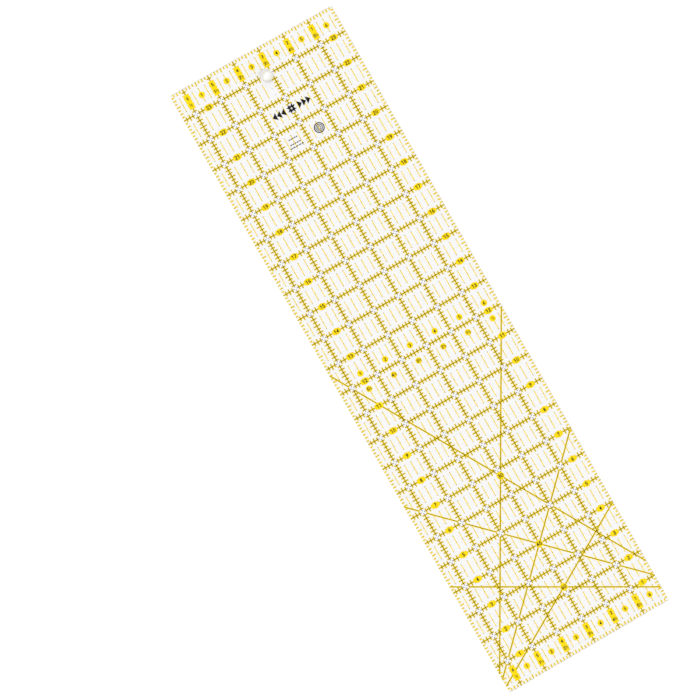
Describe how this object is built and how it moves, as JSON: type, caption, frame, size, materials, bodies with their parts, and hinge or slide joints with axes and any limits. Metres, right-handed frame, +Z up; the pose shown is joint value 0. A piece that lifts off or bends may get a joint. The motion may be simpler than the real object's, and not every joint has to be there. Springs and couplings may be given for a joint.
{
  "type": "quilting ruler",
  "caption": "Clear acrylic quilting ruler, 6 1/2 by 24 inches, printed with a yellow and black inch grid, edge scales, angle lines and numbers, with a hanging hole.",
  "frame": {"origin": "under the middle of the sheet, on the lowest face of the print", "axes": "+X across the sheet, +Y along its length towards the hanging hole, +Z up through its thickness; the printed side faces -Z and is read from +Z"},
  "size_m": [0.165, 0.6096, 0.003],
  "materials": {
    "clear_acrylic": "clear polished cast acrylic sheet with laser-cut edges",
    "yellow_ink": "cured yellow screen ink, slightly translucent",
    "black_ink": "cured black screen ink",
    "grey_ink": "black screen ink printed in fine lines"
  },
  "bodies": {
    "root": {"acrylic_blank": "clear_acrylic", "angle_hairlines": "black_ink", "angle_lines_30": "yellow_ink", "angle_lines_45": "yellow_ink", "angle_lines_60": "yellow_ink", "angle_number_patches": "yellow_ink", "angle_numerals": "black_ink", "column_number_patches": "yellow_ink", "column_numerals": "black_ink", "crosswise_hairlines": "black_ink", "crosswise_rule_01": "yellow_ink", "crosswise_rule_02": "yellow_ink", "crosswise_rule_03": "yellow_ink", "crosswise_rule_04": "yellow_ink", "crosswise_rule_05": "yellow_ink", "crosswise_rule_06": "yellow_ink", "crosswise_rule_07": "yellow_ink", "crosswise_rule_08": "yellow_ink", "crosswise_rule_09": "yellow_ink", "crosswise_rule_10": "yellow_ink", "crosswise_rule_11": "yellow_ink", "crosswise_rule_12": "yellow_ink", "crosswise_rule_13": "yellow_ink", "crosswise_rule_14": "yellow_ink", "crosswise_rule_15": "yellow_ink", "crosswise_rule_16": "yellow_ink", "crosswise_rule_17": "yellow_ink", "crosswise_rule_18": "yellow_ink", "crosswise_rule_19": "yellow_ink", "crosswise_rule_20": "yellow_ink", "crosswise_rule_21": "yellow_ink", "crosswise_rule_22": "yellow_ink", "crosswise_rule_23": "yellow_ink", "edge_ticks_bottom": "yellow_ink", "edge_ticks_left": "yellow_ink", "edge_ticks_right": "yellow_ink", "edge_ticks_top": "yellow_ink", "end_tab_numerals": "black_ink", "end_tabs": "yellow_ink", "lengthwise_hairlines": "black_ink", "lengthwise_rule_1": "yellow_ink", "lengthwise_rule_2": "yellow_ink", "lengthwise_rule_3": "yellow_ink", "lengthwise_rule_4": "yellow_ink", "lengthwise_rule_5": "yellow_ink", "lengthwise_rule_6": "yellow_ink", "note_bars": "grey_ink", "remainder_numerals": "black_ink", "ring_ornament": "grey_ink", "row_number_patches": "yellow_ink", "row_numerals": "black_ink", "star_ornament": "black_ink"}
  },
  "joints": []
}
